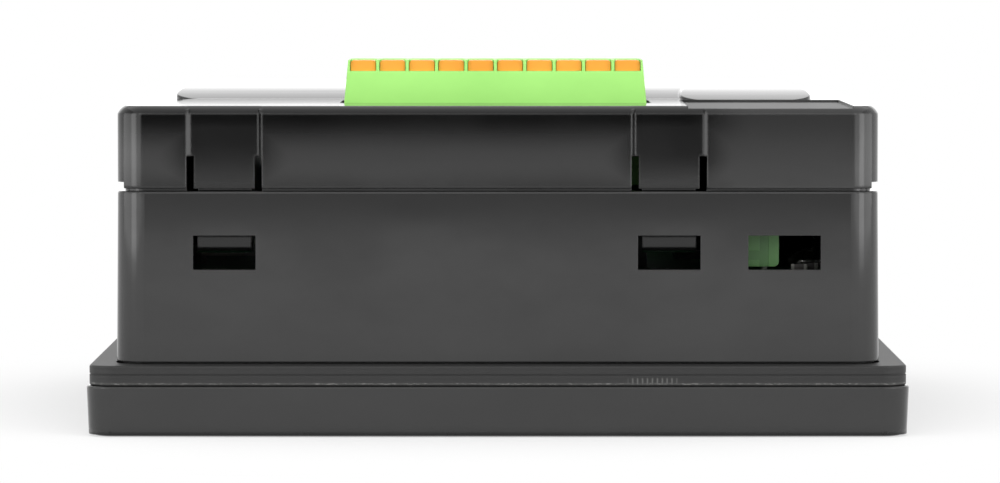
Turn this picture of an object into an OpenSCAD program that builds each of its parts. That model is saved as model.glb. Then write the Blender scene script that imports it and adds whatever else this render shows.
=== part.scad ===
// Panel-mounted programmable logic controller, lying on its front frame.
// X runs left to right, Y from the near side to the far side, Z from the front up to the rear.

/* [Front frame] */
// Width of the front frame
front_w = 96; // [94:0.5:110]
// Depth of the front frame
front_d = 96; // [94:0.5:110]
// How far the front frame stands out round the body
flange_w = 3.3; // [2.8:0.1:4]
// Thickness of the front frame
front_t = 5.9; // [5.9:0.1:8]
// Radius of its four corners
front_corner_r = 3.2; // [2.6:0.1:4.5]
// Radius round its front edge
front_edge_r = 1.2; // [0.6:0.1:1.4]
// Thickness of the plate in front of the display
front_plate_t = 2.2; // [2:0.1:2.4]
// Width of the rim that the gasket lies on
front_rim_w = 6.5; // [5:0.1:6.8]

/* [Overlay and display] */
// Margin from the front frame's edge to the overlay film
overlay_margin = 3.5; // [3:0.1:6]
// Thickness of the overlay film
overlay_t = 0.4; // [0.3:0.05:0.45]
// Margin from the front frame's left and right edges to the display window
window_margin_x = 11.5; // [11:0.5:16]
// Margin from the front frame's near and far edges to the display window
window_margin_y = 20; // [19:0.5:24]
// Margin from the front frame's left and right edges to the display module
lcd_margin_x = 9.55; // [9.3:0.05:10.5]
// Margin from the front frame's near and far edges to the display module
lcd_margin_y = 16.05; // [15.8:0.05:18]
// Thickness of the display module
lcd_t = 3.2; // [2.8:0.1:3.3]

/* [Gasket] */
// Thickness of the panel gasket
gasket_t = 2.4; // [1.6:0.1:3.2]
// How far the gasket stands back from the front frame
gasket_inset = 0.35; // [0.1:0.05:0.8]

/* [Housing] */
// Height of the housing above the front frame
body_h = 22.55; // [22:0.05:28]
// How far the housing walls draw in towards the seam
wall_draft = 0.18; // [0:0.02:0.3]
// Radius of the upright corners
body_corner_r = 3.5; // [3.2:0.1:4.5]
// Thickness of the housing walls
wall_t = 2; // [1.6:0.1:2.2]
// Thickness of the housing floor
floor_t = 1.5; // [1.2:0.1:2]

/* [Rear cover] */
// Height of the rear cover above the seam
cover_h = 9.95; // [9.2:0.05:12]
// Thickness of the rear plate
plate_t = 2; // [1.6:0.1:2.2]
// Radius round the rear edge
cover_edge_r = 0.9; // [0.5:0.05:1.4]
// Rise of the rear plateau
plateau_h = 1.2; // [0.8:0.05:1.8]
// Opening of the seam
seam_gap = 0.3; // [0.2:0.05:0.5]
// Opening of the seam on the left and right sides
side_gap = 1.05; // [0.6:0.05:1.4]
// Number of ventilation slots
vent_count = 9; // [5:1:11]
// Width of a ventilation slot
vent_w = 1.6; // [1.2:0.1:2]

/* [Snap tongues] */
// Width of a snap tongue
tongue_w = 7.1; // [6.6:0.1:8]
// Width of the slot on each side of a tongue
tongue_slot = 0.85; // [0.6:0.05:1.2]
// How deep a tongue lies behind the wall's face
tongue_recess = 0.45; // [0.2:0.05:0.6]
// Height of the slots beside a tongue
slot_rise = 4.1; // [3:0.1:5.5]
// Height of the windows that the hooks catch in
catch_h = 4; // [3.8:0.1:4.6]

/* [Terminal plug] */
// Number of poles of the plug
poles = 10; // [8:1:10]
// Distance between poles
pitch = 3.5; // [3.5:0.01:3.55]
// Depth of the plug, near to far
plug_t = 11.1; // [10.9:0.1:12]
// Height of the plug above its header
plug_h = 14.9; // [14:0.1:18]
// Width of a release button
button_w = 3; // [2.6:0.05:3.05]
// Height of the notch that shows a release button
notch_h = 1.3; // [0.8:0.1:2]
// How far a release button goes down
button_travel = 1.2; // [0.6:0.1:1.4]

/* [Hidden] */
$fn = 48;
EPS = 0.01;

// Colours
frame_black = [0.20, 0.20, 0.21];
rubber_black = [0.16, 0.16, 0.16];
terminal_green = [0.45, 0.80, 0.33];
release_orange = [0.98, 0.58, 0.13];
board_green = [0.05, 0.25, 0.12];
tinned = [0.78, 0.78, 0.76];
brass = [0.75, 0.62, 0.30];

// Clearances
slide_clear = 0.06;   // release button in its channel, each side
fit_clear = 0.1;      // moulding in moulding, each side
drop_clear = 0.2;     // part laid in a pocket, each side
pin_clear = 0.03;     // pin in its hole, each side

// Front frame and display
front_draft = 0.25;
overlay_w = front_w - 2 * overlay_margin;
overlay_d = front_d - 2 * overlay_margin;
overlay_corner_r = 1.5;
overlay_recess = overlay_t + 0.1;
window_w = front_w - 2 * window_margin_x;
window_d = front_d - 2 * window_margin_y;
window_corner_r = 2;
window_lap = 1.5;     // overlay film over the window's edge
lcd_w = front_w - 2 * lcd_margin_x;
lcd_d = front_d - 2 * lcd_margin_y;
pocket_rib_t = 1.2;
boss_r = 3.4;
pilot_r = 1.3;
pilot_skin = 0.9;     // left between a pilot hole and the overlay film

// Body
body_w = front_w - 2 * flange_w;
body_d = front_d - 2 * flange_w;
boss_inset = 7.4;     // frame screws, from the body's sides

// Foot of the housing, inside the gasket
spigot_inset = 0.5;
foot_gap = 0.18;
foot_edge_r = 0.12;   // sharper than the mould's other edges
gasket_gap = 0.6;     // keeps the gasket's rear face clear of the shoulder above it
groove_d = 0.12;
groove_h = 0.2;
groove_share = 0.56;  // of the gasket's thickness
soft_edge_r = 0.25;   // small radius that a mould leaves on an edge
cover_crown = 1.6;    // middle of the rear edge's arc; the deeper, the flatter the edge

// Seam: the housing's lip stands inside the cover's rim
lip_inset = 1.05;
lip_h = 2;

// Levels
gasket_z = front_t + gasket_t;
shoulder_z = gasket_z + foot_gap;
floor_z = front_t + floor_t;
pillar_h = 4.6;
board_t = 1.6;
board_gap = 3.6;
main_board_z = floor_z + pillar_h;
main_top_z = main_board_z + board_t;
io_board_z = main_top_z + board_gap;
io_top_z = io_board_z + board_t;
seam_z = front_t + body_h;
ledge_z = seam_z + cover_h;
plateau_z = ledge_z + plateau_h;

// Places on the body
near_y = -body_d / 2;
board_w = body_w - 2 * wall_t - 2;
board_d = body_d - 2 * wall_t - 2;
pillar_x = board_w / 2 - 4;
pillar_y = 22;
pillar_r = 3.2;

// Snap tongues
tongue_left = 12.8;   // from the left wall
tongue_right = 24.7;  // from the right wall
tongue_places = [tongue_left - body_w / 2, body_w / 2 - tongue_right];
tongue_t = 1.2;
hook_w = tongue_w - 0.8;
hook_reach = 1.6;
hook_nose_r = 1.7;
hook_flat = 0.3;
catch_drop = 5.15;    // top of a catch window, below the seam
catch_z = seam_z - catch_drop;
catch_w = tongue_w + 0.2;
catch_play = 0.08;
tongue_root_h = 4.8;
tongue_flare_r = 0.55; // of a recess's two sides at the rear edge

// Side window that shows the boards
side_window_right = 11.25;
side_window_x = body_w / 2 - side_window_right;
side_window_w = 8.45;

// Plateau of the rear plate, in two joined fields
plateau_left = 5;     // from the left wall
plateau_right = 6.5;  // from the right wall
plateau_far = 5;
plateau_front = 33.5; // from the near wall, over most of the width
corner_front = 27.3;  // from the near wall, at the right
corner_span = 22.5;   // from the right wall to the corner's left end
corner_left_x = body_w / 2 - corner_span;
plateau_corner_r = 3;
plateau_roll_r = 50;  // of the long curve down to its near edge
shelf_drop = 0.3;     // sunk shelf at the near right corner
shelf_right = 3.3;

// Terminal plug and its header
header_wall = 0.9;
header_floor = 2;
header_h = 9.8;
header_t = 8.4;
plug_setback = 14;
plug_x = -0.3;
plug_y = near_y + plug_setback + plug_t / 2;
header_y = plug_y;
plug_taper = 0.58;
plug_foot_margin = 0.6;
plug_z = io_top_z + header_h;
plug_top_z = plug_z + plug_h;
channel_w = button_w + 2 * slide_clear;
channel_wall = 0.5;
channel_t = 3.4;
chamber_h = 5.6;
chamber_floor = 1.8;
chamber_z = plug_z + chamber_floor;
chamber_top_z = chamber_z + chamber_h;
entry_w = 2.3;
entry_t = 2.4;
entry_lead = 0.7;
entry_y = 2.2;        // from the plug's middle towards the far side
foot_t = 1.55;
foot_overhang = 1.2;
aperture_clear = 0.45;

// Supply header and network jack, side by side behind the plug
supply_poles = 3;
supply_x = 8.4;
rear_row_inset = 17.7; // from the far wall
rear_row_y = -near_y - rear_row_inset;
jack_x = -8.6;
jack_w = 15.9;
jack_d = 13.2;
jack_face_drop = 0.5;
jack_h = plateau_z - jack_face_drop - io_top_z;
jack_shield_t = 0.25;
jack_mouth = [11.9, 6.9, 12];
jack_mouth_y = -1;    // the mouth's middle, from the jack's
jack_key = [6.2, 1.3];
jack_latch = [3.4, 2];
jack_contact_w = 0.45;
jack_contact_t = 0.3;
jack_contact_h = 9;
jack_contact_r = 0.7; // outer radius of the bend
jack_contact_fall = 7;
jack_contact_slant = 7;

// Small upright board behind the side window
supply_board_right = 11.75; // from the right wall
supply_board_w = 8.2;
supply_board_h = 8;
supply_board_t = 1.2;
supply_board_lift = 0.7;
supply_board_setback = 3.4;

// Flat shapes

module rounded_rect(w, d, r) {
    square([w - 2 * r, d], center = true);
    square([w, d - 2 * r], center = true);
    for (sx = [-1, 1], sy = [-1, 1])
        translate([sx * (w / 2 - r), sy * (d / 2 - r)]) circle(r);
}

module rect_ring(w, d, inner_w, inner_d) {
    difference() {
        square([w, d], center = true);
        square([inner_w, inner_d], center = true);
    }
}

// Waste outside a rounded corner at the origin; the part lies towards dir_x, dir_y. With its arc's
// middle deeper than r the corner is flatter, and still starts at r on both sides.
module corner_waste(r, dir_x, dir_y, depth = 0) {
    middle = max(r, depth);
    scale([dir_x, dir_y])
        difference() {
            translate([-EPS, -EPS]) square(r + EPS);
            translate([middle, middle]) circle(norm([middle - r, middle]));
        }
}

// A profile carried round a rounded rectangle. Its outer face lies at x = 0 and its body at x < 0,
// and it stays short of the corners' axes at x = -r.
module swept_frame(w, d, r) {
    for (turn = [0:3]) {
        across = turn % 2 == 0 ? w : d;
        along = turn % 2 == 0 ? d : w;
        rotate(90 * turn) {
            translate([across / 2 - r, 0, 0])
                rotate([90, 0, 0])
                    linear_extrude(along - 2 * r, center = true)
                        translate([r, 0]) children();
            translate([across / 2 - r, along / 2 - r, 0])
                rotate_extrude(angle = 90)
                    translate([r, 0]) children();
        }
    }
}

// How far a core that fills a swept frame's middle stays inside it, with corners that stay covered.
function core_inset(r, edge) = (r + edge) / 2;

// A slab with upright corners of radius r and a rounded top edge.
module soft_slab(w, d, r, h, edge) {
    core = core_inset(r, edge);
    swept_frame(w, d, r)
        difference() {
            translate([EPS - r, 0]) square([r - EPS, h]);
            translate([0, h]) corner_waste(edge, -1, -1);
        }
    translate([core - w / 2, core - d / 2, 0]) cube([w - 2 * core, d - 2 * core, h]);
}

// A box from its middle in X and Y and its lowest Z.
module standing_box(w, d, h) {
    translate([-w / 2, -d / 2, 0]) cube([w, d, h]);
}

module four_corners(x, y) {
    for (sx = [-1, 1], sy = [-1, 1]) translate([sx * x, sy * y, 0]) children();
}

boss_x = body_w / 2 - boss_inset;
boss_y = body_d / 2 - boss_inset;

// Front frame, overlay and display

module front_profile() {
    difference() {
        polygon([[EPS - front_corner_r, 0], [-front_draft, 0], [0, front_t],
                 [EPS - front_corner_r, front_t]]);
        translate([-front_draft, 0]) corner_waste(front_edge_r, -1, 1);
        translate([0, front_t]) corner_waste(soft_edge_r, -1, -1);
    }
}

module front_frame() {
    core = core_inset(front_corner_r, front_edge_r + front_draft);
    color(frame_black)
        difference() {
            union() {
                swept_frame(front_w, front_d, front_corner_r) front_profile();
                linear_extrude(front_t)
                    rect_ring(front_w - 2 * core, front_d - 2 * core,
                              front_w - 2 * front_rim_w, front_d - 2 * front_rim_w);
                linear_extrude(front_plate_t)
                    square([front_w - 2 * front_rim_w + 1, front_d - 2 * front_rim_w + 1], center = true);
                linear_extrude(front_plate_t + lcd_t)
                    rect_ring(lcd_w + 2 * drop_clear + 2 * pocket_rib_t,
                              lcd_d + 2 * drop_clear + 2 * pocket_rib_t,
                              lcd_w + 2 * drop_clear, lcd_d + 2 * drop_clear);
                four_corners(boss_x, boss_y) cylinder(r = boss_r, h = front_t);
            }
            translate([0, 0, -EPS])
                linear_extrude(overlay_recess + EPS)
                    rounded_rect(overlay_w + 2 * fit_clear, overlay_d + 2 * fit_clear,
                                 overlay_corner_r + fit_clear);
            translate([0, 0, -EPS])
                linear_extrude(front_plate_t + 2 * EPS)
                    rounded_rect(window_w + 2 * fit_clear, window_d + 2 * fit_clear,
                                 window_corner_r + fit_clear);
            four_corners(boss_x, boss_y)
                translate([0, 0, overlay_recess + pilot_skin]) cylinder(r = pilot_r, h = front_t);
        }
}

module front_overlay() {
    color([0.13, 0.13, 0.14])
        translate([0, 0, overlay_recess - overlay_t])
            linear_extrude(overlay_t)
                difference() {
                    rounded_rect(overlay_w, overlay_d, overlay_corner_r);
                    rounded_rect(window_w - 2 * window_lap, window_d - 2 * window_lap,
                                 window_corner_r - window_lap / 2);
                }
}

module display_window() {
    color([0.07, 0.08, 0.09])
        translate([0, 0, overlay_recess])
            linear_extrude(front_plate_t - overlay_recess)
                rounded_rect(window_w, window_d, window_corner_r);
}

tray_sheet_t = 0.3;
cell_t = 1.7;

module display_tray() {
    color(tinned)
        translate([0, 0, front_plate_t])
            difference() {
                standing_box(lcd_w, lcd_d, lcd_t);
                translate([0, 0, tray_sheet_t])
                    standing_box(lcd_w - 2 * tray_sheet_t, lcd_d - 2 * tray_sheet_t,
                                 lcd_t - 2 * tray_sheet_t);
                translate([0, 0, -EPS]) standing_box(window_w - 1, window_d - 1, 1);
            }
}

module display_cell() {
    color([0.09, 0.10, 0.12])
        translate([0, 0, front_plate_t + tray_sheet_t])
            standing_box(lcd_w - 2 * tray_sheet_t - 2 * fit_clear,
                         lcd_d - 2 * tray_sheet_t - 2 * fit_clear, cell_t);
}

module display_backlight() {
    color([0.92, 0.93, 0.93])
        translate([0, 0, front_plate_t + tray_sheet_t + cell_t])
            standing_box(lcd_w - 2 * tray_sheet_t - 2 * fit_clear,
                         lcd_d - 2 * tray_sheet_t - 2 * fit_clear,
                         lcd_t - 2 * tray_sheet_t - cell_t);
}

pad_inset = 1;
pad_w = 6;

module display_pad() {
    inner = pad_inset + pad_w;
    color([0.10, 0.10, 0.10])
        translate([0, 0, front_plate_t + lcd_t])
            linear_extrude(front_t - front_plate_t - lcd_t)
                rect_ring(lcd_w - 2 * pad_inset, lcd_d - 2 * pad_inset,
                          lcd_w - 2 * inner, lcd_d - 2 * inner);
}

// Gasket: a rubber ring with a line round its edge

gasket_w = front_w - 2 * gasket_inset;
gasket_d = front_d - 2 * gasket_inset;
gasket_corner_r = front_corner_r - gasket_inset;

module gasket_profile() {
    difference() {
        translate([EPS - gasket_corner_r, front_t]) square([gasket_corner_r - EPS, gasket_t]);
        translate([-groove_d, front_t + groove_share * gasket_t - groove_h / 2]) square([1, groove_h]);
        translate([0, front_t]) corner_waste(soft_edge_r, -1, 1);
        translate([0, gasket_z]) corner_waste(soft_edge_r, -1, -1);
    }
}

module panel_gasket() {
    hole_w = body_w - 2 * spigot_inset + 2 * gasket_gap;
    hole_d = body_d - 2 * spigot_inset + 2 * gasket_gap;
    color(rubber_black)
        difference() {
            union() {
                swept_frame(gasket_w, gasket_d, gasket_corner_r) gasket_profile();
                translate([0, 0, front_t])
                    linear_extrude(gasket_t)
                        rect_ring(gasket_w - gasket_corner_r, gasket_d - gasket_corner_r,
                                  hole_w - 6, hole_d - 6);
            }
            translate([0, 0, front_t - EPS])
                linear_extrude(gasket_t + 2 * EPS)
                    rounded_rect(hole_w, hole_d, body_corner_r - spigot_inset + gasket_gap);
        }
}

// Housing: a tray with a floor, four walls and a lip for the cover

module housing_profile() {
    difference() {
        polygon([[-wall_t, front_t], [-spigot_inset, front_t], [-spigot_inset, shoulder_z],
                 [0, shoulder_z], [-wall_draft, seam_z], [-lip_inset, seam_z],
                 [-lip_inset, seam_z + lip_h], [-wall_t, seam_z + lip_h]]);
        translate([0, shoulder_z]) corner_waste(foot_edge_r, -1, 1);
        translate([-wall_draft, seam_z]) corner_waste(soft_edge_r, -1, -1);
    }
}

// Places children at the snap tongues, on the near wall and on the far wall, with +Y inwards.
module at_tongues(inset = 0) {
    for (x = tongue_places) {
        translate([x, near_y + inset, 0]) children();
        translate([x, -near_y - inset, 0]) mirror([0, 1, 0]) children();
    }
}

clamp_slot_w = 9;
clamp_slot_h = 2.6;
clamp_slot_depth = 1.1;
clamp_slot_z = gasket_z + 7;
clamp_slot_y = 24;

module housing() {
    color(frame_black)
        difference() {
            union() {
                swept_frame(body_w, body_d, body_corner_r) housing_profile();
                translate([0, 0, front_t])
                    linear_extrude(floor_t)
                        rounded_rect(body_w - 2 * spigot_inset - 1, body_d - 2 * spigot_inset - 1,
                                     body_corner_r - spigot_inset - 0.5);
                four_corners(pillar_x, pillar_y)
                    translate([0, 0, front_t]) cylinder(r = pillar_r, h = main_board_z - front_t);
            }
            at_tongues() {
                translate([0, wall_t / 2, catch_z - catch_h])
                    standing_box(catch_w, wall_t + 1, catch_h);
                translate([0, wall_t / 2, seam_z])
                    standing_box(tongue_w + 2 * tongue_slot, wall_t + 1, lip_h + 1);
            }
            translate([side_window_x, near_y + wall_t / 2, catch_z - catch_h])
                standing_box(side_window_w, wall_t + 1, catch_h);
            four_corners(boss_x, boss_y)
                translate([0, 0, front_t - 1]) cylinder(r = pilot_r + 0.3, h = floor_t + 2);
            four_corners(pillar_x, pillar_y)
                translate([0, 0, floor_z]) cylinder(r = pilot_r, h = pillar_h + 1);
            for (side = [-1, 1], y = [-clamp_slot_y, clamp_slot_y])
                translate([side * (body_w / 2), y, clamp_slot_z])
                    standing_box(2 * clamp_slot_depth, clamp_slot_w, clamp_slot_h);
            translate([0, ribbon_y, front_t - 1])
                standing_box(ribbon_w + 2 * ribbon_slot_t, ribbon_slot_t, floor_t + 2);
        }
}

// Rear cover: a shell with a raised plateau, four snap tongues and openings for the connectors

rim_z = seam_z + seam_gap;
rabbet_z = seam_z + lip_h + 0.2;
plate_z = ledge_z - plate_t;

module cover_profile() {
    difference() {
        polygon([[-wall_draft, rim_z], [-wall_draft, ledge_z], [-3, ledge_z], [-3, plate_z],
                 [-wall_t, plate_z], [-wall_t, rabbet_z], [fit_clear - lip_inset, rabbet_z],
                 [fit_clear - lip_inset, rim_z]]);
        translate([-wall_draft, ledge_z]) corner_waste(cover_edge_r, -1, -1, cover_crown);
        translate([-wall_draft, rim_z]) corner_waste(soft_edge_r, -1, 1);
    }
}

// The plateau's two fields, each as its middle and size.
main_field = [(plateau_left - plateau_right) / 2, (plateau_front - plateau_far) / 2,
              body_w - plateau_left - plateau_right, body_d - plateau_front - plateau_far];
corner_field_w = body_w / 2 - plateau_right - corner_left_x;
corner_field = [corner_left_x + corner_field_w / 2, (corner_front - plateau_far) / 2,
                corner_field_w, body_d - corner_front - plateau_far];

// Waste over a field's long curve: its top rolls down to nothing at the near edge.
module roll_waste(w, h) {
    run = sqrt(2 * plateau_roll_r * h - h * h);
    rotate([90, 0, 90])
        linear_extrude(w + 1, center = true)
            difference() {
                translate([-1, 0]) square([run + 1, h + 1]);
                translate([run, h - plateau_roll_r]) circle(plateau_roll_r, $fn = 4 * $fn);
            }
}

// The plateau's outside stands on the ledge, and its hollow starts below it.
module plateau() {
    for (field = [main_field, corner_field])
        translate([field[0], field[1], ledge_z - EPS])
            difference() {
                soft_slab(field[2], field[3], plateau_corner_r, plateau_h + EPS, 0.9 * plateau_h);
                translate([0, -field[3] / 2, EPS]) roll_waste(field[2], plateau_h);
            }
}

module plateau_hollow() {
    for (field = [main_field, corner_field])
        translate([field[0], field[1], plate_z - 1])
            linear_extrude(plateau_h + 1)
                rounded_rect(field[2] - 2 * plate_t, field[3] - 2 * plate_t, plateau_corner_r - plate_t);
}

// Waste that leaves a tongue's recess: flat, rounded over at the rear edge, with sloping sides that
// flare at the rear edge.
module tongue_recess_waste() {
    half = tongue_w / 2 + tongue_slot;
    translate([0, 0, seam_z])
        linear_extrude(ledge_z - seam_z + 1)
            polygon([[-half, -1], [half, -1], [half, 0], [half - tongue_recess, tongue_recess],
                     [tongue_recess - half, tongue_recess], [-half, 0]]);
    for (side = [-1, 1])
        translate([side * half, tongue_recess, ledge_z])
            rotate([90, 0, 0])
                linear_extrude(tongue_recess + 1) corner_waste(tongue_flare_r, side, -1);
    translate([0, tongue_recess, ledge_z])
        rotate([90, 0, 90])
            linear_extrude(2 * half, center = true) corner_waste(cover_edge_r, 1, -1, cover_crown);
}

// A tongue's leg inside the housing wall, seen along X: its hook's nose is a true arc.
module tongue_leg_profile() {
    inner = -wall_t - fit_clear;
    top = catch_z - catch_play;
    translate([inner - tongue_t, top - hook_flat - hook_nose_r])
        square([tongue_t, rabbet_z + tongue_root_h - top + hook_flat + hook_nose_r - lip_h]);
    translate([inner, top - hook_flat]) square([hook_reach, hook_flat]);
    intersection() {
        translate([inner + hook_reach - hook_nose_r, top - hook_flat]) circle(hook_nose_r);
        translate([inner, top - hook_flat - hook_nose_r]) square([hook_reach, hook_nose_r]);
    }
}

module tongue_leg() {
    rotate([0, 0, -90])
        rotate([90, 0, 0])
            linear_extrude(hook_w, center = true) tongue_leg_profile();
    translate([0, wall_t + fit_clear / 2, rabbet_z])
        standing_box(hook_w, 2 * fit_clear + 0.4, tongue_root_h - lip_h);
}

plug_foot_w = poles * pitch + 2 * plug_foot_margin;
supply_w = supply_poles * pitch + 2 * plug_foot_margin;
header_w = poles * pitch + 2 * plug_foot_margin;

// Openings for the connectors, each as its middle and size.
plug_aperture = [plug_x, plug_y, plug_foot_w + 2 * aperture_clear, plug_t + 2 * aperture_clear];
supply_aperture = [supply_x, rear_row_y, supply_w + 2 * aperture_clear, header_t + 2 * aperture_clear];
jack_aperture = [jack_x, rear_row_y, jack_w + 2 * aperture_clear, jack_d + 2 * aperture_clear];
shroud_t = 1.2;
shroud_h = 3;

module aperture(place, grow, z, h) {
    translate([place[0], place[1], z])
        linear_extrude(h) rounded_rect(place[2] + 2 * grow, place[3] + 2 * grow, 0.5 + grow);
}

vent_pitch = 4;
vent_length = 22;
vent_y = 5;

module vent() {
    straight = vent_length - vent_w;
    square([vent_w, straight], center = true);
    for (end = [-1, 1]) translate([0, end * straight / 2]) circle(d = vent_w);
}

module rear_cover() {
    color(frame_black)
        difference() {
            union() {
                difference() {
                    union() {
                        swept_frame(body_w, body_d, body_corner_r) cover_profile();
                        translate([0, 0, plate_z])
                            standing_box(body_w - 2 * wall_t - 1, body_d - 2 * wall_t - 1, plate_t);
                        plateau();
                    }
                    plateau_hollow();
                    at_tongues(wall_draft) {
                        tongue_recess_waste();
                        for (side = [-1, 1])
                            translate([side * (tongue_w + tongue_slot) / 2, 0, seam_z])
                                standing_box(tongue_slot, 3 * wall_t, slot_rise);
                    }
                    for (side = [-1, 1])
                        translate([side * (body_w / 2), 0, seam_z])
                            standing_box(2 * (lip_inset - EPS), body_d + 2, side_gap);
                    translate([corner_left_x, near_y - 1, ledge_z - shelf_drop])
                        cube([body_w / 2 - shelf_right - corner_left_x, corner_front + 1, 1]);
                    for (i = [0:vent_count - 1])
                        translate([(i - (vent_count - 1) / 2) * vent_pitch, vent_y, plate_z - 1])
                            linear_extrude(plate_t + plateau_h + 2) vent();
                }
                at_tongues() tongue_leg();
                aperture(plug_aperture, shroud_t, plate_z - shroud_h, shroud_h + EPS);
                aperture(supply_aperture, shroud_t, plateau_z - plate_t - shroud_h, shroud_h + EPS);
            }
            for (place = [plug_aperture, supply_aperture, jack_aperture])
                aperture(place, 0, plate_z - shroud_h - 1, shroud_h + plate_t + plateau_h + 2);
        }
}

// Boards

module board_outline() {
    rounded_rect(board_w, board_d, 1.5);
}

module main_board() {
    color(board_green)
        difference() {
            translate([0, 0, main_board_z]) linear_extrude(board_t) board_outline();
            four_corners(pillar_x, pillar_y)
                translate([0, 0, main_board_z - 1]) cylinder(r = pilot_r + 0.1, h = board_t + 2);
        }
}

module io_board() {
    color(board_green)
        difference() {
            translate([0, 0, io_board_z]) linear_extrude(board_t) board_outline();
            four_corners(pillar_x, pillar_y)
                translate([0, 0, io_board_z - 1]) cylinder(r = pilot_r + 0.1, h = board_t + 2);
            translate([0, 0, io_board_z - 1]) {
                at_poles(poles, plug_x, header_y) cylinder(r = pin_hole_r, h = board_t + 2);
                at_poles(supply_poles, supply_x, rear_row_y) cylinder(r = pin_hole_r, h = board_t + 2);
            }
        }
}

spacer_af = 5.2;
spacer_pilot = 3;
thread_r = 1.2;

module board_spacers() {
    color(brass)
        four_corners(pillar_x, pillar_y)
            difference() {
                union() {
                    translate([0, 0, main_top_z])
                        cylinder(r = spacer_af / sqrt(3), h = board_gap, $fn = 6);
                    translate([0, 0, floor_z + 1]) cylinder(r = thread_r, h = main_top_z - floor_z);
                }
                translate([0, 0, io_board_z - spacer_pilot])
                    cylinder(r = pilot_r, h = spacer_pilot + 1);
            }
}

head_r = 2.6;
head_h = 1.7;
head_crown_r = 3.4;   // radius of the head's domed top
cross_w = 0.6;
cross_depth = 0.9;
tip_clear = 0.4;      // below a screw's tip

// A pan-head screw, its head's seat at the origin and its shank going down.
module pan_screw(length) {
    difference() {
        rotate_extrude()
            intersection() {
                translate([0, head_h - head_crown_r]) circle(head_crown_r);
                square([head_r, head_h]);
            }
        for (turn = [0, 90])
            rotate(turn) translate([0, 0, head_h - cross_depth]) standing_box(head_r, cross_w, head_h);
    }
    translate([0, 0, -length]) cylinder(r = thread_r, h = length);
}

module board_screws() {
    color(tinned)
        four_corners(pillar_x, pillar_y)
            translate([0, 0, io_top_z]) pan_screw(board_t + spacer_pilot - tip_clear);
}

module frame_screws() {
    color(tinned)
        four_corners(boss_x, boss_y)
            translate([0, 0, floor_z]) pan_screw(floor_z - overlay_recess - pilot_skin - tip_clear);
}

// Flat cable from the display's rear edge through the floor to the main board

ribbon_w = 20;
ribbon_t = 0.2;
ribbon_inset = 9;     // from the display module's far edge
ribbon_y = lcd_d / 2 - ribbon_inset;
ribbon_tail = 6;
ribbon_bend_r = 0.8;
ribbon_plug = [23, 3.5, 1.2];
ribbon_plug_y = 3;
ribbon_slot_t = 2;

// The cable seen along X, turned by two true bends.
module ribbon_profile(low, high) {
    middle = ribbon_bend_r - ribbon_t;
    translate([-ribbon_tail, low]) square([ribbon_tail - ribbon_bend_r, ribbon_t]);
    translate([-ribbon_t, low + ribbon_bend_r]) square([ribbon_t, high - low - 2 * ribbon_bend_r]);
    translate([middle, high - ribbon_t]) square([ribbon_plug_y - middle, ribbon_t]);
    translate([-ribbon_bend_r, low + ribbon_bend_r])
        intersection() {
            difference() {
                circle(ribbon_bend_r);
                circle(middle);
            }
            translate([0, -ribbon_bend_r]) square(ribbon_bend_r);
        }
    translate([middle, high - ribbon_bend_r])
        intersection() {
            difference() {
                circle(ribbon_bend_r);
                circle(middle);
            }
            translate([-ribbon_bend_r, 0]) square(ribbon_bend_r);
        }
}

module display_ribbon() {
    low = front_plate_t + lcd_t;
    high = main_board_z - ribbon_plug.z;
    color([0.80, 0.55, 0.25])
        translate([0, ribbon_y, 0]) {
            rotate([90, 0, 90]) linear_extrude(ribbon_w, center = true) ribbon_profile(low, high);
            translate([0, ribbon_plug_y, high])
                standing_box(ribbon_plug.x, ribbon_plug.y, ribbon_plug.z);
        }
}

link_w = 26;
link_d = 5;
link_margin = 2.5;    // from the boards' far edge

module board_link() {
    color([0.09, 0.09, 0.09])
        translate([0, board_d / 2 - link_margin - link_d / 2, main_top_z])
            standing_box(link_w, link_d, board_gap);
}

processor_side = 14;
processor_h = 1.4;
processor_x = 8;
processor_y = 4;

module processor() {
    color([0.12, 0.12, 0.13])
        translate([processor_x, processor_y, main_top_z])
            standing_box(processor_side, processor_side, processor_h);
}

memory_w = 12;
memory_d = 8;
memory_h = 1.1;
memory_gap = 8;
memory_margin = 10;   // from the main board's right edge

module memory_chips() {
    color([0.12, 0.12, 0.13])
        for (side = [-1, 1])
            translate([board_w / 2 - memory_margin - memory_w / 2,
                       processor_y + side * (memory_d + memory_gap) / 2, main_top_z])
                standing_box(memory_w, memory_d, memory_h);
}

cell_r = 10;
cell_h = 2.5;
battery_left = 24;    // from the main board's left edge
battery_x = battery_left - board_w / 2;
battery_y = -6;
clip_t = 0.4;
clip_w = 6;
clip_lap = 2.5;

module backup_battery() {
    color(tinned)
        translate([battery_x, battery_y, main_top_z + clip_t]) cylinder(r = cell_r, h = cell_h);
}

module battery_clip() {
    color(tinned)
        translate([battery_x, battery_y, main_top_z]) {
            outer = cell_r + fit_clear + clip_t;
            standing_box(clip_w, 2 * outer, clip_t);
            for (side = [-1, 1]) {
                translate([0, side * (outer - clip_t / 2), 0])
                    standing_box(clip_w, clip_t, cell_h + 2 * clip_t);
                translate([0, side * (outer - clip_lap / 2), clip_t + cell_h])
                    standing_box(clip_w, clip_lap, clip_t);
            }
        }
}

// Small parts on the input and output board; two of them lie behind the side window.
chip_w = 2;
chip_d = 1.2;
chip_h = 0.9;
chip_row_gap = 10;    // behind the plug's header
window_chips = [[6.2, 3.4], [4.8, 6]];  // from the board's right and near edges

module signal_part() {
    standing_box(chip_w, chip_d, chip_h);
}

module signal_parts() {
    color([0.75, 0.73, 0.66]) {
        for (place = window_chips)
            translate([board_w / 2 - place[0], place[1] - board_d / 2, io_top_z]) signal_part();
        at_poles(poles, plug_x, header_y + chip_row_gap) translate([0, 0, io_top_z]) signal_part();
    }
}

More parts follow.
